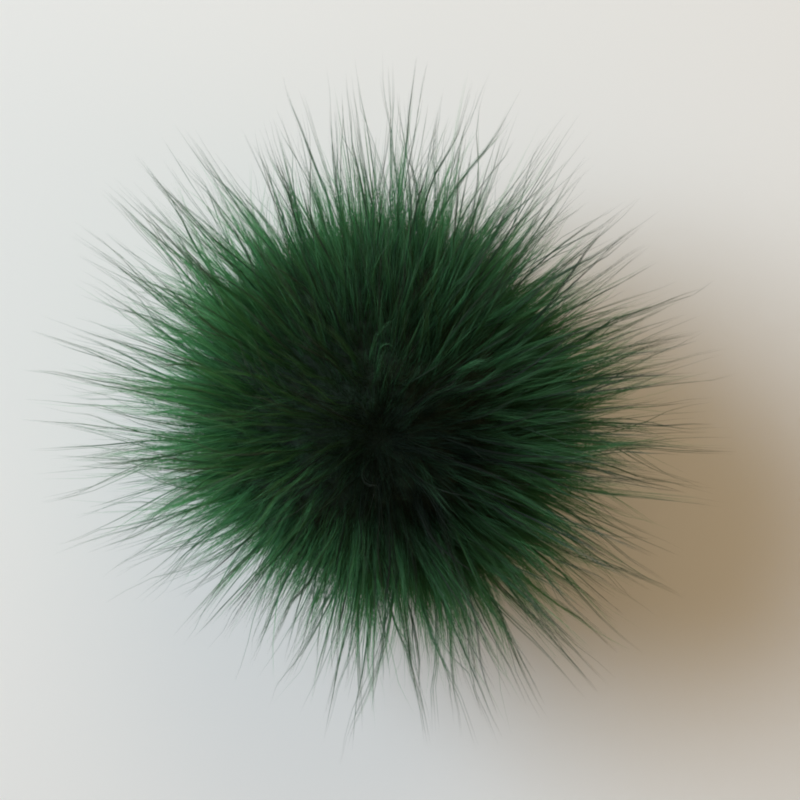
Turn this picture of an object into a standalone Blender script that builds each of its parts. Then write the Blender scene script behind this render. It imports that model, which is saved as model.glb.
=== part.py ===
"""A pom pom of dyed fur, lying on a table.

It is one solid: a ball of backing, and the locks of hair that stand out of it
all round, each fused into the backing at its root and apart from the others
beyond it. The locks beneath are shorter and end level on the table. Sizes are
in millimetres and the mesh is made in metres. +Z is up, and +Y is the way that
the nap of the fur leans.
"""

import math
import random

import bmesh
import bpy
from mathutils import Euler, Matrix, Vector, noise

MM = 0.001
SEED = 11

NAME = "fur_pompom"
COLLECTION = "pom_pom"
FUR_COLOUR = (0.012, 0.052, 0.017, 1.0)  # linear, a dyed bottle green

BACKING_RADIUS = 16.5    # where the locks part from one another
CENTRE_HEIGHT = 22.5     # of the ball over the table, with the hair beneath it pressed short
LOCKS_A_SIDE = 7         # six sides of a rounded cube, of this many locks each way
LOCK_ANGLE = math.pi / 2 / LOCKS_A_SIDE
# About X, Y and Z: no row of locks lies level, and one lock still points straight down.
GRID_TURN = (2 * LOCK_ANGLE, LOCK_ANGLE, 0.55)
ROOT_JITTER = 0.26       # of a lock's width, so that the roots keep to no grid

REACH = 31.8             # of an even lock's tip from the ball's middle
REACH_SPREAD = 1.8       # how much longer or shorter one lock is than the next
REACH_SWELL = 1.3        # the same, but slowly over the ball
NAP = 0.13               # lean of the hair towards +Y, as a share of its length
SWAY = 3.6               # how far neighbouring tips drift aside together
STRAY = 1.0              # how far one tip strays on its own
TWIST = 0.12             # of a lock, at each of its sections, in radians

# How a lock tapers: (share of its length, share of its root's width)
TAPER = ((0.24, 0.90), (0.52, 0.66), (0.80, 0.34), (1.0, 0.07))
# The same for a lock that stands on the table, and how wide its level end is: from the
# shortest, right under the middle, to the longest, at the edge of the ball's foot.
STANDING_TAPER = ((0.34, 0.88), (0.70, 0.70))
STANDING_ENDS = (0.54, 0.18)
FOOT_WIDTH = 0.80        # of the root, at the end of the one lock right under the middle
CLEAR_OF_TABLE = 0.3     # the least height of hair that passes over the table

DRIFT_SCALE = 2.6        # how fast the drift changes over the ball
DRIFT_OFFSETS = (Vector((1.3, 7.9, 3.1)), Vector((11.7, 2.2, 5.8)), Vector((6.4, 9.6, 14.9)))

# Where the outline swells and draws in: (degrees round from +X, half width, millimetres)
OUTLINE = (
    (5, 24, 1.6),        # long hair to the right
    (312, 30, 2.4),      # the longest, to the lower right
    (232, 26, -2.2),     # the short side, at the lower left
    (270, 16, 2.0),      # a tuft at the bottom
    (200, 14, 1.2),      # and one at the left
    (84, 20, 0.8),       # the top, with a shorter stretch left of it
    (108, 12, -1.2),
    (132, 9, 1.5),       # a tuft at the upper left, beside a notch
    (153, 7, -1.2),
)


def bump(offset, half_width):
    """1 at the middle of a swelling, and 0 from half_width degrees off it."""
    offset = (offset + 180) % 360 - 180
    if abs(offset) >= half_width:
        return 0.0
    return 0.5 + 0.5 * math.cos(math.pi * offset / half_width)


def scatter(rng):
    return Vector([rng.uniform(-1, 1) for _ in range(3)])


def slow_drift(place):
    """A sideways pull that changes slowly from place to place, so that neighbours lean together."""
    return Vector([noise.noise(place + offset) for offset in DRIFT_OFFSETS])


def in_order(parts, place):
    """The points or faces of a mesh from the lowest up, so that each run deals them the same numbers."""
    return sorted(parts, key=lambda part: [round(side, 5) for side in reversed(place(part))])


def backing(rng):
    """The ball of backing: a cube's grid drawn out to a ball, its points moved about a little."""
    bm = bmesh.new()
    bmesh.ops.create_cube(bm, size=2)
    bmesh.ops.subdivide_edges(
        bm, edges=bm.edges[:], cuts=LOCKS_A_SIDE - 1, use_grid_fill=True
    )
    turn = Euler(GRID_TURN).to_matrix()
    for vert in in_order(bm.verts, lambda vert: vert.co):
        even = turn @ Vector([math.tan(side * math.pi / 4) for side in vert.co]).normalized()
        vert.co = (even + scatter(rng) * LOCK_ANGLE * ROOT_JITTER).normalized() * BACKING_RADIUS
    return bm


def reach_of(out, rng):
    """How far from the ball's middle a lock ends that grows this way."""
    degrees = math.degrees(math.atan2(out.y, out.x))
    level = 1 - out.z * out.z
    swell = sum(more * bump(degrees - at, wide) for at, wide, more in OUTLINE)
    slow = noise.noise(out * 2.3 + Vector((4.1, 0.7, 9.2)))
    return REACH + level * swell + REACH_SWELL * slow + REACH_SPREAD * rng.uniform(-1, 1)


def tip_of(out, rng):
    """Where a lock ends that grows this way, if no table is in its way."""
    lean = (out + Vector((0, NAP, 0)) * (1 - out.y * out.y)).normalized()
    aside = slow_drift(out * DRIFT_SCALE) * SWAY + scatter(rng) * STRAY
    return lean * reach_of(out, rng) + aside - out * aside.dot(out)


def grow(bm, face, middles, widths, twist):
    """Draws a lock out of a face of the backing, one section to each of middles, and returns its end."""
    middle = face.calc_center_median()
    width = 1.0
    turn = Matrix.Rotation(twist, 3, middle.normalized())
    for next_middle, next_width in zip(middles, widths):
        face = bmesh.ops.extrude_discrete_faces(bm, faces=[face])["faces"][0]
        for vert in face.verts:
            vert.co = next_middle + turn @ (vert.co - middle) * (next_width / width)
            vert.co.z = max(vert.co.z, CLEAR_OF_TABLE - CENTRE_HEIGHT)
        middle = next_middle
        width = next_width
    return face


def add_free_lock(bm, face, tip, rng):
    """A lock that leaves the backing straight and bends over on its way out to its tip."""
    root = face.calc_center_median()
    straight = root.normalized() * (tip.length - root.length)
    middles = [
        (root + straight * share).lerp(root.lerp(tip, share), share) for share, _ in TAPER
    ]
    widths = [width for _, width in TAPER]
    grow(bm, face, middles, widths, rng.uniform(-TWIST, TWIST))


def add_standing_lock(bm, face, is_foot):
    """A lock as short as its room over the table, with a level end that rests there."""
    root = face.calc_center_median()
    out = root.normalized()
    tip = out * (CENTRE_HEIGHT / -out.z)
    beside = min((tip.length - CENTRE_HEIGHT) / (REACH - CENTRE_HEIGHT), 1)
    end_width = STANDING_ENDS[0] + (STANDING_ENDS[1] - STANDING_ENDS[0]) * beside
    taper = (*STANDING_TAPER, (1.0, FOOT_WIDTH if is_foot else end_width))
    middles = [root.lerp(tip, share) for share, _ in taper]
    widths = [width * (1 - 0.4 * beside * share) for share, width in taper]
    end = grow(bm, face, middles, widths, 0.0)
    for vert in end.verts:
        vert.co.z = -CENTRE_HEIGHT


def add_locks(bm, rng):
    roots = in_order(bm.faces, lambda face: face.calc_center_median())
    for count, face in enumerate(roots):
        out = face.calc_center_median().normalized()
        tip = tip_of(out, rng)
        if tip.z < CLEAR_OF_TABLE - CENTRE_HEIGHT:
            add_standing_lock(bm, face, is_foot=count == 0)
        else:
            add_free_lock(bm, face, tip, rng)


def stand_on_table(bm):
    """Puts the origin on the table, under the middle of the fur's box, and turns millimetres to metres."""
    low = [min(vert.co[axis] for vert in bm.verts) for axis in range(2)]
    high = [max(vert.co[axis] for vert in bm.verts) for axis in range(2)]
    to_origin = Vector((-(low[0] + high[0]) / 2, -(low[1] + high[1]) / 2, CENTRE_HEIGHT))
    for vert in bm.verts:
        vert.co = (vert.co + to_origin) * MM


def fur_material():
    material = bpy.data.materials.new("dyed_fur")
    material.use_nodes = True
    shader = material.node_tree.nodes["Principled BSDF"]
    shader.inputs["Base Color"].default_value = FUR_COLOUR
    shader.inputs["Roughness"].default_value = 0.6
    material.diffuse_color = FUR_COLOUR
    return material


def main():
    for obj in list(bpy.data.objects):
        bpy.data.objects.remove(obj)
    rng = random.Random(SEED)
    bm = backing(rng)
    add_locks(bm, rng)
    stand_on_table(bm)
    mesh = bpy.data.meshes.new(NAME)
    bm.to_mesh(mesh)
    bm.free()
    mesh.materials.append(fur_material())
    collection = bpy.data.collections.new(COLLECTION)
    bpy.context.scene.collection.children.link(collection)
    collection.objects.link(bpy.data.objects.new(NAME, mesh))


main()
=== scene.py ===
"""A fur pom pom on pale paper, seen from straight above.

The coat is built as a furrier knows it: a mass of down round the skin, painted dark as
the coat's deep shade, then fine underfur, longer awn hair and the sparse, glossy guard hair
that reaches furthest. Hair gathers in tufts that draw to a point, leans with the nap, and
lies over along the paper beneath the ball. Sizes in this file are in millimetres unless a
name or a unit says otherwise, and meshes are made in metres.
"""

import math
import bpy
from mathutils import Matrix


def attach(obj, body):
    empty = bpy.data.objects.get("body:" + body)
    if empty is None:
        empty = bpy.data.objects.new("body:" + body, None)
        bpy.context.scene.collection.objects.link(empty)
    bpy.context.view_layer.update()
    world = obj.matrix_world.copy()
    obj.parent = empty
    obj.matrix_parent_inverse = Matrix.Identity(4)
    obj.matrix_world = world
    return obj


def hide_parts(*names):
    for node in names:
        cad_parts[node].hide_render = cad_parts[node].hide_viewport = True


bl_info = {
    "name": "Fur pom pom",
    "version": (1, 0, 0),
    "blender": (4, 5, 0),
    "location": "3D View > Sidebar > Pom pom",
    "description": "Grows the coat of a dyed fur pom pom and sets it on pale paper",
    "category": "Object",
}

import bmesh
import bpy
import numpy as np
from bpy.props import (
    FloatProperty,
    FloatVectorProperty,
    IntProperty,
    PointerProperty,
)
from mathutils import Vector, noise

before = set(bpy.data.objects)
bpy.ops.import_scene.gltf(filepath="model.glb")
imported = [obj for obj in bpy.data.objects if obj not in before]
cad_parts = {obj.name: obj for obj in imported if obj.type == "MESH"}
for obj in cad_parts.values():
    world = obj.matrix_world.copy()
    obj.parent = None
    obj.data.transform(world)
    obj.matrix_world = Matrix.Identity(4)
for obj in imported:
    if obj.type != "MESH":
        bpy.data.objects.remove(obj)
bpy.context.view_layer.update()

MM = 0.001
FULL_TURN = 2 * math.pi
GOLDEN_ANGLE = math.pi * (3 - math.sqrt(5))
AT_ONCE = 4000           # hairs whose wisps are looked up together, to save memory
MAP = "OFBake"           # across it runs a hair's tone, and up it runs root to tip
SOLID = "fur_pompom"

# The ball, as the solid has it.
CENTRE = np.array((-0.05, 0.92, 22.5))
FURTHEST = 35.8          # that any hair reaches from the ball's middle
SHORTEST = 1.0           # that any hair is
NAP = 0.18               # lean of the hair towards +Y, as a share of its length

# The whirl at the crown. Hair parts there and leans away, as a share of its length, and
# is shorter. Both fade out round it, over widths that are sines of the angle from it.
WHIRL = np.array((0.04, -0.19, 0.98))
PARTING = 0.6
PARTING_WIDTH = 0.5
PARTING_EYE = 0.1        # the middle of the parting, where hair stands up
DIP = 1.0
DIP_WIDTH = 0.25

# How much further than even the coat reaches, seen from above, every 10 degrees from +X.
OUTLINE = (
    4.0, 1.0, 1.2, 0.1, -1.6, -0.1, 1.3, 1.3, -0.1, 0.0, -0.8, -1.3,
    0.1, 2.9, 1.3, 5.7, 2.5, -0.6, 4.0, -0.7, 2.3, 2.0, -2.1, -2.8,
    -4.7, -5.8, -1.1, 0.8, -0.6, 4.6, 4.7, 4.3, 3.4, -1.8, 4.8, 0.3,
)

# Waves that go over the ball slowly, which neighbouring tufts sway with.
SWAY_SEED = 3
SWAY_WAVES = 5
SWAY_FINENESS = 2.6      # in radians of the wave to the ball's radius
SWAY_SUM = 2             # about what the waves add up to

# What hair gathers in. Each kind's places are shifted by this share of their spacing.
TUFT_JITTER, WISP_JITTER, HAIR_JITTER, BUNCH_JITTER = 0.30, 0.35, 0.6, 0.45
TUFT_LONGER, WISP_LONGER = 0.6, 0.5  # spreads of their length, in a coat's tufted
TUFT_EVEN, BUNCH_EVEN = 0.4, 0.5     # how far off the middle hair is neither long nor short
BUNCH_EDGE = 1.2         # how far off its bunch's middle hair counts as, in half spacings
LEAST_GATHER, LEAST_BUNCHING = 0.5, 0.35  # as shares of the most
REACH_LIMIT = 2.2        # the most that hairs differ in reach by chance, in spreads

# Along a hair: where it has joined its wisp, where it has all but drawn into its tuft and
# bunch, and how far past that the drawing goes on and how late it sets in.
JOINS_WISP_AT = 4.5
DRAWN_AT = 12.0
TUFT_END, TUFT_LATENESS = 1.2, 1.6
BUNCH_END, BUNCH_LATENESS = 1.1, 1.8

# Lengths of the waves along a wisp and of the crimp in a hair.
LONG_WAVE, SHORT_WAVE, CRIMP_WAVE = 15, 6, 5
SHORT_WAVE_SHARE = 0.5   # of the long one's height
SHORT_WAVE_STEP = 3      # its phase for each of the long one's, to fall out of step
CRIMP_PHASES = 6.3       # about a full turn of them

# How thick a hair is at places from its root to its tip, and how much hairs differ.
TAPER_PLACES = (0, 0.45, 0.8, 1)
TAPER = (0.8, 1, 0.5, 0.1)
THICKNESSES = (0.7, 1.2)

# How the coat's colour is painted with shade and glow: hair is painted darker where the coat
# would lie in its own shade, and paler on the shoulder that faces the window. A place is a
# direction from the ball's middle. Its edges are cosines of the angle from it, where its
# painted shade starts and where it is full.
CROWN = np.array((0.09, 0.0, 1.0))       # in deep shade, a little away from the window
CROWN_EDGES = (0.15, 0.90)
CROWN_PAINTED_SHADE = 0.92
HOLLOW = np.array((0.18, -0.33, 0.92))   # by the whirl, where one looks deepest in
HOLLOW_EDGES = (0.84, 0.97)
HOLLOW_PAINTED_SHADE = 0.52
LIT = np.array((-0.80, 0.05, 0.60))      # the shoulder that faces the window
LIT_NARROWNESS = 8
LIT_PAINTED_GLOW = 0.65
# Below the crown the colour is painted paler towards the left, the window's side, and a little
# towards the bottom, and darker towards the right and a little towards the top.
PALER_SIDE = np.array((-0.25, -0.1, 0.0))  # where it is paler below the crown, and how much

# A hair's tone runs from 0, as dark as its coat's painted shade gets, to 1. These are that of
# hair out of all painted shade, and how tufts, wisps and hairs differ by chance.
EVEN_TONE = 0.86
TUFT_TONE, WISP_TONE, HAIR_TONE = 0.045, 0.026, 0.028

# Hair that would reach the paper turns aside along it from this height.
TURNS_ASIDE = 4.0
ALONG_PAPER = 0.75       # share of the lost drop that becomes spread

# Bulges of the down: how fine they are, for the ball's radius, and how strong.
LUMPS = ((3.0, 1.0), (9.0, 0.6), (24.0, 0.35))

# Where a hair's colours lie, up its map, and how wide its strip of the map is. The strip
# stays this far off the map's lower and upper edge.
PLACES = {"root": 0.0, "middle": 0.5, "tip": 1.0}
STRIP = 0.006
MARGIN = 0.002

# The pieces of a coat, from the top down.
HALVES = ("upper", "lower")
BANDS = ("crown", "shoulder", "side", "hip", "foot")


# --- Colours, nodes and materials ---------------------------------------------------


def linear(hex_colour):
    """The linear colour of an sRGB hex value."""
    parts = [int(hex_colour[i : i + 2], 16) / 255 for i in (1, 3, 5)]
    return tuple(c / 12.92 if c <= 0.04045 else ((c + 0.055) / 1.055) ** 2.4 for c in parts)


def add_node(tree, kind, inputs=None, **settings):
    """Adds a node, sets its settings, and sets or links its inputs."""
    node = tree.nodes.new(kind)
    for name, value in settings.items():
        setattr(node, name, value)
    for key, value in (inputs or {}).items():
        if isinstance(value, bpy.types.NodeSocket):
            tree.links.new(value, node.inputs[key])
        else:
            node.inputs[key].default_value = value
    return node


def set_ramp(node, stops):
    """Gives a Color Ramp its stops: (place, linear colour)."""
    ramp = node.color_ramp
    while len(ramp.elements) > 1:
        ramp.elements.remove(ramp.elements[-1])
    for count, (place, colour) in enumerate(stops):
        element = ramp.elements[0] if count == 0 else ramp.elements.new(place)
        element.position = place
        element.color = (*colour, 1.0)
    return node


def new_material(name):
    material = bpy.data.materials.new(name)
    material.use_nodes = True
    tree = material.node_tree
    return material, tree, tree.nodes["Principled BSDF"]


def noise_node(tree, place, size, detail):
    """Noise whose lumps are about this far apart, in metres, all through a piece."""
    inputs = {"Vector": place.outputs["Object"], "Scale": 1 / size, "Detail": detail}
    return add_node(tree, "ShaderNodeTexNoise", inputs)


def hair_material(name, coat, roughness, specular):
    """Dyed hair, coloured from root to tip, between its coat's dark and light by its tone, which
    carries painted shade and painted glow.
    """
    material, tree, shader = new_material(name)
    chart = add_node(tree, "ShaderNodeUVMap", uv_map=MAP)
    place = add_node(tree, "ShaderNodeSeparateXYZ", {"Vector": chart.outputs["UV"]})
    ramps = []
    for tone in ("dark", "light"):
        ramp = add_node(tree, "ShaderNodeValToRGB", {"Fac": place.outputs["Y"]})
        stops = [(up, getattr(coat, f"{tone}_{part}")) for part, up in PLACES.items()]
        ramps.append(set_ramp(ramp, stops).outputs["Color"])
    colour = add_node(
        tree,
        "ShaderNodeMix",
        {"Factor": place.outputs["X"], "A": ramps[0], "B": ramps[1]},
        data_type="RGBA",
    )
    tree.links.new(colour.outputs["Result"], shader.inputs["Base Color"])
    shader.inputs["Roughness"].default_value = roughness
    shader.inputs["Specular IOR Level"].default_value = specular
    shader.inputs["IOR"].default_value = 1.55  # keratin
    return material


# --- Where hair grows and how it lies -----------------------------------------------


def unit(vectors):
    return vectors / np.linalg.norm(vectors, axis=-1, keepdims=True)


def even_directions(rng, count, jitter):
    """Directions spread evenly over a ball and then moved about by jitter of their spacing."""
    step = np.arange(count) + 0.5
    height = 1 - 2 * step / count
    turn = GOLDEN_ANGLE * step
    level = np.sqrt(1 - height**2)
    even = np.stack([level * np.cos(turn), level * np.sin(turn), height], 1)
    spacing = math.sqrt(4 * math.pi / count)
    return unit(even + rng.normal(size=(count, 3)) * spacing * jitter)


def sway(directions):
    """A lean that changes slowly over the ball, about 1 long."""
    rng = np.random.default_rng(SWAY_SEED)
    waves = rng.normal(size=(3, SWAY_WAVES, 3)) * SWAY_FINENESS
    phases = rng.uniform(0, FULL_TURN, (3, SWAY_WAVES))
    sums = [np.sin(directions @ waves[axis].T + phases[axis]).sum(1) for axis in range(3)]
    return np.stack(sums, 1) / SWAY_SUM


def outline_swell(directions):
    """How much further than even the coat reaches, in each direction, seen from above."""
    degrees = np.degrees(np.arctan2(directions[:, 1], directions[:, 0]))
    known = np.arange(len(OUTLINE)) * 360 / len(OUTLINE)
    return np.interp(degrees, known, OUTLINE, period=360) * (1 - directions[:, 2] ** 2)


def off_whirl(directions):
    """The way out from the whirl to each direction, and how far it is, as a sine."""
    towards = directions @ unit(WHIRL)
    away = directions - towards[:, None] * unit(WHIRL)
    return away, np.where(towards > 0, np.linalg.norm(away, axis=1), 1)


def dip(directions):
    """How much shorter than even the coat is, in each direction."""
    return DIP * np.exp(-((off_whirl(directions)[1] / DIP_WIDTH) ** 2))


def shared_lean(directions, ball):
    """How hair leans with all the rest: by the nap, away from the whirl, and in a sway."""
    away, off = off_whirl(directions)
    parting = PARTING * np.exp(-((off / PARTING_WIDTH) ** 2)) / (off + PARTING_EYE)
    nap = np.array((0, NAP, 0)) * (1 - directions[:, 1:2] ** 2)
    return nap + away * parting[:, None] + sway(directions) * ball.sway


def lie_on_paper(points):
    """Turns hair aside that would go through the paper, so that it lies along it."""
    height = points[..., 2]
    low = height < TURNS_ASIDE
    bent = TURNS_ASIDE * np.exp((np.minimum(height, TURNS_ASIDE) - TURNS_ASIDE) / TURNS_ASIDE)
    lost = np.where(low, bent - height, 0)
    away = points[..., :2] - CENTRE[:2]
    away = away / np.maximum(np.linalg.norm(away, axis=-1, keepdims=True), 1e-6)
    points = points.copy()
    points[..., :2] += away * (lost * ALONG_PAPER)[..., None]
    points[..., 2] = np.where(low, bent, height)
    return points


def nearest(directions, roots):
    """Which of the roots each direction is nearest to."""
    found = np.empty(len(directions), int)
    for first in range(0, len(directions), AT_ONCE):
        some = slice(first, first + AT_ONCE)
        found[some] = (directions[some] @ roots.T).argmax(1)
    return found


class Wisps:
    """What hair gathers in: wisps a millimetre apart, drawn into tufts and bunches."""

    def __init__(self, ball):
        rng = np.random.default_rng(ball.seed)
        tufts = even_directions(rng, ball.tufts, TUFT_JITTER)
        lean = shared_lean(tufts, ball) + rng.normal(size=tufts.shape) * ball.tuft_lean
        tuft_axes = unit(tufts + lean)
        tuft_bends = rng.normal(size=tufts.shape) * ball.tuft_bend
        tuft_longer, tuft_tone = rng.normal(size=(2, ball.tufts))

        self.roots = even_directions(rng, ball.wisps, WISP_JITTER)
        self.order = rng.permutation(ball.wisps)
        own = nearest(self.roots, tufts)
        count = (ball.wisps, 3)
        lean = shared_lean(self.roots, ball) + rng.normal(size=count) * ball.wisp_lean
        self.axes = unit(self.roots + lean)
        self.gather = ball.gather * rng.uniform(LEAST_GATHER, 1, (ball.wisps, 1, 1))
        self.tufts, self.tuft_axes = tufts[own], tuft_axes[own]
        # Hair at the whirl is seen end on, where any bend would look like a curl.
        upright = np.minimum(off_whirl(self.roots)[1] / PARTING_WIDTH, 1)[:, None]
        self.bends = (tuft_bends[own] + rng.normal(size=count) * ball.wisp_bend) * upright
        self.waves = rng.normal(size=count) * ball.wave / MM * upright
        self.strays = rng.normal(size=count)
        self.phases = rng.uniform(0, FULL_TURN, (ball.wisps, 1, 1))
        # A tuft comes to a point, so its wisps are shorter the further they grow from it.
        off = np.arccos(np.clip((self.roots * self.tufts).sum(1), -1, 1))
        off /= math.sqrt(4 * math.pi / ball.tufts)
        self.longer = TUFT_LONGER * tuft_longer[own]
        self.longer += WISP_LONGER * rng.normal(size=ball.wisps)
        self.longer += ball.point * (TUFT_EVEN - off)
        self.tone = TUFT_TONE * tuft_tone[own] + WISP_TONE * rng.normal(size=ball.wisps)
        # Round the side, tufts stand one above another in upright bunches.
        turns = np.arange(ball.bunches) + rng.normal(size=ball.bunches) * BUNCH_JITTER
        self.bunches = turns / ball.bunches * FULL_TURN
        self.bunching = ball.bunching * rng.uniform(LEAST_BUNCHING, 1, ball.wisps)

    def paths(self, own, start, at, coat):
        """The middles of the wisps that hairs belong to, at these distances along."""
        far = at / DRAWN_AT
        drawn = np.minimum(far, TUFT_END)
        path = (self.roots[own] * start)[:, None] + self.axes[own][:, None] * at
        tuft = (self.tufts[own] * start)[:, None] + self.tuft_axes[own][:, None] * at
        path = path + (tuft - path) * self.gather[own] * drawn**TUFT_LATENESS
        path = path + self.bends[own][:, None] * at * drawn * coat.curl
        path = path + self.strays[own][:, None] * at * coat.part
        wave = np.sin(FULL_TURN * at / LONG_WAVE + self.phases[own])
        short = np.sin(FULL_TURN * at / SHORT_WAVE + SHORT_WAVE_STEP * self.phases[own])
        wave = wave + SHORT_WAVE_SHARE * short
        return path + self.waves[own][:, None] * wave * np.minimum(far, 1) * coat.curl

    def off_bunch(self, points):
        """How far round it is from each point to its bunch, in radians and half spacings."""
        azimuth = np.arctan2(points[:, 1], points[:, 0])
        off = (self.bunches[None] - azimuth[:, None] + math.pi) % FULL_TURN - math.pi
        off = off[np.arange(len(off)), np.abs(off).argmin(1)]
        return off, np.minimum(np.abs(off) * len(self.bunches) / math.pi, BUNCH_EDGE)

    def bunched(self, path, own, at):
        """Turns hair about the upright axis towards its bunch, the more the further along."""
        tip = path[:, -1]
        level = (tip[:, 0] ** 2 + tip[:, 1] ** 2) / (tip**2).sum(1)
        turn = self.off_bunch(tip)[0] * self.bunching[own] * level
        drawn = np.minimum(at[..., 0] / DRAWN_AT, BUNCH_END) ** BUNCH_LATENESS
        turn = turn[:, None] * drawn
        x, y = path[..., 0], path[..., 1]
        cos, sin = np.cos(turn), np.sin(turn)
        return np.stack([x * cos - y * sin, x * sin + y * cos, path[..., 2]], -1)


def rise(values, edges):
    """How far values have come from the first edge to the second, from 0 to 1."""
    return np.clip((values - edges[0]) / (edges[1] - edges[0]), 0, 1)


def painted_shade_of(roots):
    """How much painted shade hair's colour gets: 1.4 at most, and below 0 in the painted glow.
    """
    crown = rise(roots @ unit(CROWN), CROWN_EDGES)
    hollow = rise(roots @ unit(HOLLOW), HOLLOW_EDGES)
    lit = np.clip(roots @ unit(LIT), 0, 1) ** LIT_NARROWNESS
    shade = CROWN_PAINTED_SHADE * crown + HOLLOW_PAINTED_SHADE * hollow - LIT_PAINTED_GLOW * lit
    return shade - roots @ PALER_SIDE * (1 - crown)


def reach_of(rng, roots, own, coat, ball, wisps):
    """How far from the ball's middle each hair of a coat reaches, if it is straight."""
    chance = np.clip(rng.normal(size=coat.hairs), -REACH_LIMIT, REACH_LIMIT)
    level = 1 - roots[:, 2] ** 2
    longer = ball.point * (BUNCH_EVEN - wisps.off_bunch(roots)[1]) * level
    longer = wisps.longer[own] + longer
    reach = coat.reach / MM + coat.spread / MM * chance + coat.tufted / MM * longer
    return reach + outline_swell(roots) * coat.swell - dip(roots)


def grow(rng, coat, ball, wisps):
    """A coat's hairs.

    Gives where each is rooted, as a direction, the points of its middle, (hair, point,
    3), how thick it is at each of them, and its tone.
    """
    roots = even_directions(rng, coat.hairs, HAIR_JITTER)
    chosen = wisps.order[: max(1, int(coat.share * ball.wisps))]
    own = chosen[nearest(roots, wisps.roots[chosen])]
    start = coat.starts_at / MM
    reach = reach_of(rng, roots, own, coat, ball, wisps)
    length = np.clip(reach - start, SHORTEST, FURTHEST - start)[:, None, None]
    lean = shared_lean(roots, ball) + rng.normal(size=(coat.hairs, 3)) * coat.stray
    along = np.linspace(0, 1, coat.sections + 1)[None, :, None]
    at = length * along
    path = (roots * start)[:, None] + unit(roots + lean)[:, None] * at
    bend = rng.normal(size=(coat.hairs, 3)) * coat.bend
    path = path + bend[:, None] * at * along
    phases = rng.uniform(0, CRIMP_PHASES, (coat.hairs, 1, 1))
    crimp = np.sin(FULL_TURN * at / CRIMP_WAVE + phases)
    path = path + rng.normal(size=(coat.hairs, 1, 3)) * coat.crimp / MM * crimp * along
    pull = 1 - coat.loose * rng.uniform(0, 1, (coat.hairs, 1, 1))
    joined = np.minimum(at / JOINS_WISP_AT, 1)
    path = path + (wisps.paths(own, start, at, coat) - path) * pull * joined
    path = wisps.bunched(path, own, at)
    # Bends may have drawn a hair out past the furthest that any reaches.
    tip = np.linalg.norm(path[:, -1], axis=1)
    path *= np.minimum(FURTHEST / tip, 1)[:, None, None]
    taper = np.interp(along[0, :, 0], TAPER_PLACES, TAPER)
    thick = coat.width / MM / 2 * rng.uniform(*THICKNESSES, (coat.hairs, 1)) * taper
    # The tone carries painted shade and painted glow, by where the hair grows on the ball.
    tone = EVEN_TONE - coat.shade * painted_shade_of(roots)
    tone = tone + wisps.tone[own] + HAIR_TONE * rng.normal(size=coat.hairs)
    return roots, lie_on_paper(path + CENTRE), thick, np.clip(tone, 0, 1)


def hair_faces(rings, sides):
    """One hair's faces, and where each of their corners is across and up its strip."""
    tip = rings * sides
    faces, across, up = [], [], []
    around = [(side, (side + 1) % sides) for side in range(sides if sides > 2 else 1)]
    for ring in range(rings):
        low = ring * sides
        bottom, top = ring / rings, (ring + 1) / rings
        for side, after in around:
            left, right = side / len(around), (side + 1) / len(around)
            if ring == rings - 1:
                faces.append((low + side, low + after, tip))
                across += [left, right, (left + right) / 2]
                up += [bottom, bottom, top]
            else:
                faces.append((low + side, low + after, low + sides + after, low + sides + side))
                across += [left, right, right, left]
                up += [bottom, bottom, top, top]
    return faces, np.array(across), np.array(up)


def hair_mesh(name, rng, path, thick, tone, sides):
    """Hairs that end in a point, in one mesh with its map: flat, or with three sides."""
    hairs, points = path.shape[:2]
    rings = points - 1
    tangent = np.gradient(path, axis=1)
    first = unit(np.cross(tangent, unit(rng.normal(size=(hairs, 1, 3)))))
    second = unit(np.cross(tangent, first))
    shaft = []
    for side in range(sides):
        turn = FULL_TURN * side / sides
        out = first * math.cos(turn) + second * math.sin(turn)
        shaft.append(path[:, :rings] + out[:, :rings] * thick[:, :rings, None])
    shaft = np.stack(shaft, 2).reshape(hairs, rings * sides, 3)
    corners = np.concatenate([shaft, path[:, -1:]], 1)
    each = corners.shape[1]

    faces, across, up = hair_faces(rings, sides)
    loops = np.concatenate([np.array(face) for face in faces])
    sizes = np.array([len(face) for face in faces])
    mesh = bpy.data.meshes.new(name)
    mesh.vertices.add(hairs * each)
    mesh.vertices.foreach_set("co", (corners * MM).astype(np.float32).ravel())
    mesh.loops.add(hairs * len(loops))
    vertex = (loops[None] + np.arange(hairs)[:, None] * each).astype(np.int32)
    mesh.loops.foreach_set("vertex_index", vertex.ravel())
    starts = np.concatenate([[0], np.cumsum(sizes)[:-1]])
    starts = (starts[None] + np.arange(hairs)[:, None] * len(loops)).astype(np.int32)
    mesh.polygons.add(hairs * len(sizes))
    mesh.polygons.foreach_set("loop_start", starts.ravel())
    mesh.polygons.foreach_set("use_smooth", np.ones(hairs * len(sizes), bool))
    mesh.update(calc_edges=True)

    # Each hair has a thin upright strip of the map, at its tone. Hairs of one tone share
    # a strip, and look alike there, so it doesn't matter which of them is baked last.
    chart = np.empty((hairs, len(loops), 2), np.float32)
    chart[..., 0] = tone[:, None] * (1 - STRIP) + across[None] * STRIP
    chart[..., 1] = up[None] * (1 - 2 * MARGIN) + MARGIN
    layer = mesh.uv_layers.new(name=MAP)
    layer.data.foreach_set("uv", chart.ravel())
    return mesh


def add_piece(name, mesh, material):
    """Puts a mesh in the scene as a piece of the coat, which rides with the ball."""
    piece = bpy.data.objects.new(name, mesh)
    bpy.context.scene.collection.objects.link(piece)
    mesh.materials.append(material)
    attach(piece, "root")
    return piece


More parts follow.
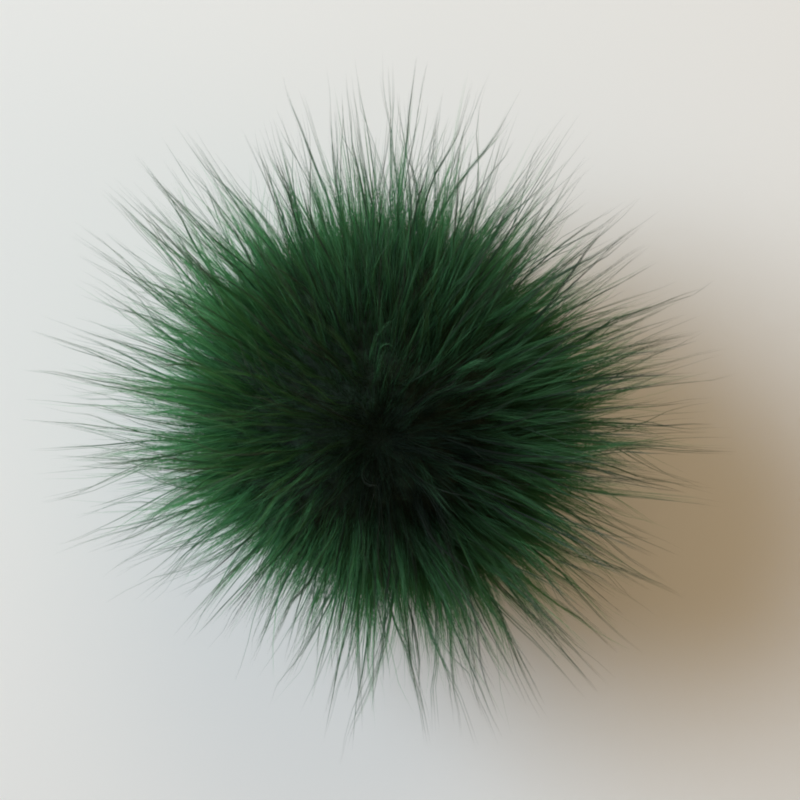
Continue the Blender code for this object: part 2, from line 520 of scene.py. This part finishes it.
def add_coat(name, coat, ball, material, places, sides):
    """Grows one coat and adds a piece for each of its places, from the top down."""
    rng = np.random.default_rng(coat.seed)
    roots, path, thick, tone = grow(rng, coat, ball, Wisps(ball))
    band = ((1 - roots[:, 2]) / 2 * len(places)).astype(int)
    band = np.clip(band, 0, len(places) - 1)
    for number, place in enumerate(places):
        own = band == number
        mesh = hair_mesh(f"{name}_{place}", rng, path[own], thick[own], tone[own], sides)
        add_piece(f"{name}_{place}", mesh, material)


# --- What a user may change ---------------------------------------------------------


# What each coat of hair can be given, and what it means.
COAT_COUNTS = {
    "hairs": "How many",
    "sections": "Straight lengths to a hair",
    "seed": "Changes every hair",
}
COAT_LENGTHS = {
    "starts_at": "From the ball's middle, inside the core",
    "reach": "Of an even hair's tip, from the ball's middle",
    "spread": "Of the reach",
    "tufted": "How much further hair reaches in the middle of a tuft",
    "crimp": "How far hair waves",
    "width": "At the thickest",
}
COAT_SHARES = {
    "swell": "How far it follows the outline",
    "loose": "How far hair may hang off its wisp",
    "part": "How far its wisps lean apart, besides the rest",
    "share": "Of the wisps that it grows in",
    "stray": "How far hair leans its own way",
    "bend": "How far hair bends",
    "curl": "How far hair follows the bends of its wisp",
    # shade: how much painted shade darkens this coat's colour
    "shade": "How much darker it is in the coat's own shade",
}
# The dark colours are painted shade, for hair deepest in the coat's own shade; the light ones
# are for hair out of it, and in its painted glow.
COAT_COLOURS = {
    "dark": "Colour of the darkest hair, at its {}",
    "light": "Colour of the lightest hair, at its {}",
}


def coat_settings(**values):
    """One coat's settings, with their defaults: lengths in mm, colours from root to tip."""
    settings = {}
    for key, value in values.items():
        name = key.replace("_", " ").capitalize()
        if key in COAT_COUNTS:
            settings[key] = IntProperty(
                name=name, description=COAT_COUNTS[key], default=value, min=1
            )
        elif key in COAT_LENGTHS:
            settings[key] = FloatProperty(
                name=name, description=COAT_LENGTHS[key], default=value * MM, unit="LENGTH"
            )
        elif key in COAT_SHARES:
            settings[key] = FloatProperty(
                name=name, description=COAT_SHARES[key], default=value, min=0
            )
        else:
            for place, colour in zip(PLACES, value):
                settings[f"{key}_{place}"] = FloatVectorProperty(
                    name=f"{name} {place}",
                    description=COAT_COLOURS[key].format(place),
                    subtype="COLOR",
                    default=linear(colour),
                    min=0,
                    max=1,
                )
    return settings


class POMPOM_PG_ball(bpy.types.PropertyGroup):
    """The ball as a whole, and the tufts that its hair gathers in."""

    core_radius: FloatProperty(
        name="Core radius",
        description="Where the mass of down round the skin ends",
        default=16.6 * MM,
        unit="LENGTH",
    )
    core_lumps: FloatProperty(
        name="Core lumps",
        description="How much the down bulges and hollows from even",
        default=0.9 * MM,
        unit="LENGTH",
    )
    tufts: IntProperty(
        name="Tufts", description="How many tufts the wisps draw into", default=620, min=20
    )
    tuft_lean: FloatProperty(
        name="Tuft lean",
        description="How far tufts lean apart, as a share of their length",
        default=0.11,
    )
    tuft_bend: FloatProperty(
        name="Tuft bend",
        description="How far a tuft's tip bends aside, as a share of its length",
        default=0.09,
    )
    gather: FloatProperty(
        name="Gather", description="How far wisps draw into their tuft", default=0.6
    )
    point: FloatProperty(
        name="Point",
        description="How much longer the middle of a tuft is than its edge",
        default=1.2,
    )
    wisps: IntProperty(
        name="Wisps", description="How many wisps the hair gathers in", default=4600, min=20
    )
    wisp_lean: FloatProperty(
        name="Wisp lean",
        description="How far wisps lean apart, as a share of their length",
        default=0.10,
    )
    wisp_bend: FloatProperty(
        name="Wisp bend",
        description="How far a wisp's tip bends aside, as a share of its length",
        default=0.09,
    )
    wave: FloatProperty(
        name="Wave", description="How far a wisp waves about", default=0.25 * MM, unit="LENGTH"
    )
    bunches: IntProperty(
        name="Bunches",
        description="How many upright bunches stand round the side",
        default=46,
        min=3,
    )
    bunching: FloatProperty(
        name="Bunching", description="How far hair draws into its bunch", default=0.3
    )
    sway: FloatProperty(
        name="Sway",
        description="How far neighbouring tufts lean together, as a share of their length",
        default=0.07,
    )
    seed: IntProperty(name="Seed", description="Changes where the tufts grow", default=7)


class POMPOM_PG_underfur(bpy.types.PropertyGroup):
    """Fine, soft hair that makes the ball look solid."""

    __annotations__ = coat_settings(
        hairs=124000,
        starts_at=15.8,
        reach=17.6,
        spread=2.5,
        tufted=0.8,
        crimp=0.12,
        swell=0.65,
        width=0.04,
        loose=0.45,
        part=0.0,
        share=1.0,
        stray=0.10,
        bend=0.10,
        sections=3,
        curl=1.0,
        shade=0.55,
        # the dark colours are painted shade
        dark=("#19231C", "#131A16", "#171E1A"),
        light=("#466A49", "#42764B", "#6FB37C"),
        seed=21,
    )


class POMPOM_PG_awn(bpy.types.PropertyGroup):
    """Hair between underfur and guard hair, which draws the tufts to their points."""

    __annotations__ = coat_settings(
        hairs=20400,
        starts_at=15.0,
        reach=24.3,
        spread=2.4,
        tufted=1.0,
        crimp=0.10,
        swell=0.8,
        width=0.045,
        loose=0.24,
        part=0.06,
        share=0.42,
        stray=0.10,
        bend=0.10,
        sections=5,
        curl=1.0,
        shade=0.57,
        # the dark colours are painted shade
        dark=("#19231C", "#141B17", "#19201C"),
        light=("#466A49", "#579E61", "#76AB7C"),
        seed=22,
    )


class POMPOM_PG_guard(bpy.types.PropertyGroup):
    """The long, sparse, glossy hair that reaches furthest."""

    __annotations__ = coat_settings(
        hairs=3200,
        starts_at=14.5,
        reach=30.3,
        spread=2.3,
        tufted=1.2,
        crimp=0.05,
        swell=1.0,
        width=0.07,
        loose=0.1,
        part=0.09,
        share=0.25,
        stray=0.09,
        bend=0.06,
        sections=8,
        curl=0.55,
        shade=0.8,
        # the dark colours are painted shade
        dark=("#19231C", "#161D17", "#1D231D"),
        light=("#305238", "#3A744C", "#767F73"),
        seed=23,
    )


class POMPOM_PG_stage(bpy.types.PropertyGroup):
    """The paper that the pom pom lies on, its light and the camera over it."""

    paper: FloatVectorProperty(
        name="Paper",
        description="Colour of the paper",
        subtype="COLOR",
        default=linear("#ECECE8"),
        min=0,
        max=1,
    )
    window: FloatProperty(
        name="Window",
        description="Power of the light at the upper left",
        default=13.2,
        unit="POWER",
    )
    lamp: FloatProperty(
        name="Lamp", description="Power of the warm light at the top", default=0.46, unit="POWER"
    )
    glow: FloatProperty(
        name="Glow",
        description="Power of the low, warm light at the right",
        default=0.45,
        unit="POWER",
    )
    room: FloatProperty(
        name="Room", description="Strength of the dim light all round", default=0.225
    )
    lens: FloatProperty(
        name="Lens", description="Focal length in millimetres", default=150.0
    )
    view_width: FloatProperty(
        name="View width",
        description="What the picture takes in across, at the height of the ball's middle",
        default=80 * MM,
        unit="LENGTH",
    )


class POMPOM_PG_pompom(bpy.types.PropertyGroup):
    """Everything about the pom pom."""

    ball: PointerProperty(type=POMPOM_PG_ball)
    underfur: PointerProperty(type=POMPOM_PG_underfur)
    awn: PointerProperty(type=POMPOM_PG_awn)
    guard: PointerProperty(type=POMPOM_PG_guard)
    stage: PointerProperty(type=POMPOM_PG_stage)


# --- Operators ----------------------------------------------------------------------


def down_material():
    """Dyed down, matted round the skin.

    Its colour is painted shade: it is the densest of the fur, light gets lost in it, and it is
    painted a soft near-black green, with paler flecks painted where single fibres catch light.
    """
    material, tree, shader = new_material("dyed_down")
    place = add_node(tree, "ShaderNodeTexCoord")
    # Down lies in wisps about 1.2 mm apart, with fibres drawn as coarse as 0.25 mm to show.
    wisps = noise_node(tree, place, 1.2 * MM, detail=4.0)
    fibres = noise_node(tree, place, 0.25 * MM, detail=2.0)
    mixed = add_node(
        tree,
        "ShaderNodeMath",
        {0: wisps.outputs["Fac"], 1: fibres.outputs["Fac"]},
        operation="MULTIPLY",
    )
    # The near-black greens are painted shade, and their paler flecks painted light on single
    # fibres.
    colour = set_ramp(
        add_node(tree, "ShaderNodeValToRGB", {"Fac": mixed.outputs["Value"]}),
        ((0.15, linear("#141E15")), (0.32, linear("#1D2C1F")), (0.5, linear("#283C2B"))),
    )
    bump = add_node(
        tree,
        "ShaderNodeBump",
        {"Height": mixed.outputs["Value"], "Strength": 0.8, "Distance": 0.3 * MM},
    )
    tree.links.new(colour.outputs["Color"], shader.inputs["Base Color"])
    tree.links.new(bump.outputs["Normal"], shader.inputs["Normal"])
    shader.inputs["Roughness"].default_value = 0.9
    shader.inputs["Specular IOR Level"].default_value = 0.2
    return material


class POMPOM_OT_core(bpy.types.Operator):
    """Builds the mass of down round the skin, which the hair grows out of"""

    bl_idname = "pompom.core"
    bl_label = "Down core"

    def execute(self, context):
        ball = context.scene.pompom.ball
        bm = bmesh.new()
        bmesh.ops.create_icosphere(bm, subdivisions=6, radius=1.0)
        dips = dip(np.array([vert.co.normalized() for vert in bm.verts])) * MM
        for vert, lower in zip(bm.verts, dips):
            out = vert.co.normalized()
            lump = sum(strength * noise.noise(out * fine) for fine, strength in LUMPS)
            vert.co = out * (ball.core_radius + ball.core_lumps * lump - lower)
            vert.co += Vector(CENTRE) * MM
        for face in bm.faces:
            face.smooth = True
        mesh = bpy.data.meshes.new("down_core")
        bm.to_mesh(mesh)
        bm.free()
        core = add_piece("down_core", mesh, down_material())
        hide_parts(SOLID)
        return {"FINISHED"}


class POMPOM_OT_underfur(bpy.types.Operator):
    """Grows the underfur"""

    bl_idname = "pompom.underfur"
    bl_label = "Underfur"

    def execute(self, context):
        pompom = context.scene.pompom
        # Dyed underfur: very fine, crimped and dull. It takes dye evenly, a clear green; its
        # colour is painted darker and greyer towards the root, as painted shade where less light
        # gets to it, and paler towards the tip, as painted light shining through it.
        material = hair_material("dyed_underfur", pompom.underfur, roughness=0.85, specular=0.0)
        add_coat("underfur", pompom.underfur, pompom.ball, material, BANDS, sides=2)
        return {"FINISHED"}


class POMPOM_OT_awn(bpy.types.Operator):
    """Grows the awn hair"""

    bl_idname = "pompom.awn"
    bl_label = "Awn hair"

    def execute(self, context):
        pompom = context.scene.pompom
        # Dyed awn hair: straighter and a little glossy, a green that greys at the tip.
        material = hair_material("dyed_awn_hair", pompom.awn, roughness=0.55, specular=0.06)
        add_coat("awn_hair", pompom.awn, pompom.ball, material, HALVES, sides=2)
        return {"FINISHED"}


class POMPOM_OT_guard(bpy.types.Operator):
    """Grows the guard hair"""

    bl_idname = "pompom.guard"
    bl_label = "Guard hair"

    def execute(self, context):
        pompom = context.scene.pompom
        # Dyed guard hair: thick, smooth and glossy, so that it draws pale lines of light
        # over the dark coat, and its fine tips stand grey against the paper.
        material = hair_material("dyed_guard_hair", pompom.guard, roughness=0.38, specular=0.28)
        add_coat("guard_hair", pompom.guard, pompom.ball, material, HALVES, sides=3)
        return {"FINISHED"}


class POMPOM_OT_stage(bpy.types.Operator):
    """Lays the paper, hangs the lights and sets the camera"""

    bl_idname = "pompom.stage"
    bl_label = "Stage"

    def execute(self, context):
        scene = context.scene
        stage = scene.pompom.stage
        add_paper(stage)
        add_lights(scene, stage)
        add_camera(scene, stage)
        scene.view_settings.view_transform = "Standard"
        scene.cycles.filter_width = 2.0  # as soft as a phone's picture
        return {"FINISHED"}


def add_paper(stage):
    # Uncoated white paper: matt, even, with a faint tooth about 0.4 mm across.
    material, tree, shader = new_material("uncoated_paper")
    place = add_node(tree, "ShaderNodeTexCoord")
    tooth = noise_node(tree, place, 0.4 * MM, detail=3.0)
    bump = add_node(
        tree,
        "ShaderNodeBump",
        {"Height": tooth.outputs["Fac"], "Strength": 0.1, "Distance": 0.05 * MM},
    )
    tree.links.new(bump.outputs["Normal"], shader.inputs["Normal"])
    shader.inputs["Base Color"].default_value = (*stage.paper, 1.0)
    shader.inputs["Roughness"].default_value = 0.9
    shader.inputs["Specular IOR Level"].default_value = 0.2
    bm = bmesh.new()
    # Far wider than the picture, so that light comes off it from all round.
    bmesh.ops.create_grid(bm, x_segments=2, y_segments=2, size=1.5)
    mesh = bpy.data.meshes.new("paper")
    bm.to_mesh(mesh)
    bm.free()
    mesh.materials.append(material)
    paper = bpy.data.objects.new("paper", mesh)
    bpy.context.scene.collection.objects.link(paper)


def add_light(scene, name, towards, distance, size, power, colour):
    """A square light that shines on the ball from this direction and distance."""
    light = bpy.data.lights.new(name, "AREA")
    light.shape = "SQUARE"
    light.size = size
    light.energy = power
    light.color = colour
    lamp = bpy.data.objects.new(name, light)
    towards = Vector(towards).normalized()
    lamp.location = Vector(CENTRE) * MM + towards * distance
    lamp.rotation_euler = towards.to_track_quat("Z", "Y").to_euler()
    scene.collection.objects.link(lamp)


def add_lights(scene, stage):
    # A broad, cool light like a window's, at the upper left, so that the shadow falls
    # softly to the lower right.
    add_light(
        scene,
        "window",
        towards=(-0.80, 0.335, 0.66),
        distance=1.00,
        size=0.66,
        power=stage.window,
        colour=(0.69, 0.82, 0.97),
    )
    # A weak, warm one at the top of the picture, which fills the shadow and leaves the
    # paper at the bottom a little darker and bluer.
    add_light(
        scene,
        "lamp",
        towards=(0.15, 0.75, 0.65),
        distance=0.42,
        size=0.30,
        power=stage.lamp,
        colour=(1.0, 0.80, 0.55),
    )
    # And what a wooden table's far side would send back, low and warm from the right.
    add_light(
        scene,
        "glow",
        towards=(0.90, -0.35, 0.25),
        distance=0.50,
        size=0.30,
        power=stage.glow,
        colour=(1.0, 0.60, 0.42),
    )
    # The rest of the room is dim and warm.
    world = bpy.data.worlds.new("room")
    world.use_nodes = True
    background = world.node_tree.nodes["Background"]
    background.inputs["Color"].default_value = (1.0, 0.75, 0.45, 1.0)
    background.inputs["Strength"].default_value = stage.room
    scene.world = world


def add_camera(scene, stage):
    lens = bpy.data.cameras.new("camera")
    lens.lens = stage.lens
    lens.sensor_width = 36.0
    camera = bpy.data.objects.new("camera", lens)
    distance = stage.view_width * stage.lens / lens.sensor_width
    # The ball lies 2 mm left of the picture's middle, and 1 mm below it.
    camera.location = Vector(CENTRE) * MM + Vector((2.0 * MM, 1.0 * MM, distance))
    scene.collection.objects.link(camera)
    scene.camera = camera


# --- Panel, registration and run ----------------------------------------------------


STEPS = (
    ("ball", POMPOM_OT_core),
    ("underfur", POMPOM_OT_underfur),
    ("awn", POMPOM_OT_awn),
    ("guard", POMPOM_OT_guard),
    ("stage", POMPOM_OT_stage),
)


class POMPOM_PT_sidebar(bpy.types.Panel):
    """Lists the pom pom's settings and the operators that build it"""

    bl_idname = "POMPOM_PT_sidebar"
    bl_label = "Pom pom"
    bl_space_type = "VIEW_3D"
    bl_region_type = "UI"
    bl_category = "Pom pom"

    def draw(self, context):
        for group, operator in STEPS:
            settings = getattr(context.scene.pompom, group)
            box = self.layout.box()
            for name in settings.bl_rna.properties.keys():
                if name not in ("rna_type", "name"):
                    box.prop(settings, name)
            box.operator(operator.bl_idname)


CLASSES = (
    POMPOM_PG_ball,
    POMPOM_PG_underfur,
    POMPOM_PG_awn,
    POMPOM_PG_guard,
    POMPOM_PG_stage,
    POMPOM_PG_pompom,
    POMPOM_OT_core,
    POMPOM_OT_underfur,
    POMPOM_OT_awn,
    POMPOM_OT_guard,
    POMPOM_OT_stage,
    POMPOM_PT_sidebar,
)


def register():
    for cls in CLASSES:
        bpy.utils.register_class(cls)
    bpy.types.Scene.pompom = PointerProperty(type=POMPOM_PG_pompom)


def unregister():
    del bpy.types.Scene.pompom
    for cls in reversed(CLASSES):
        bpy.utils.unregister_class(cls)


def main():
    register()
    bpy.ops.pompom.core()
    bpy.ops.pompom.underfur()
    bpy.ops.pompom.awn()
    bpy.ops.pompom.guard()
    bpy.ops.pompom.stage()


if __name__ == "__main__":
    main()
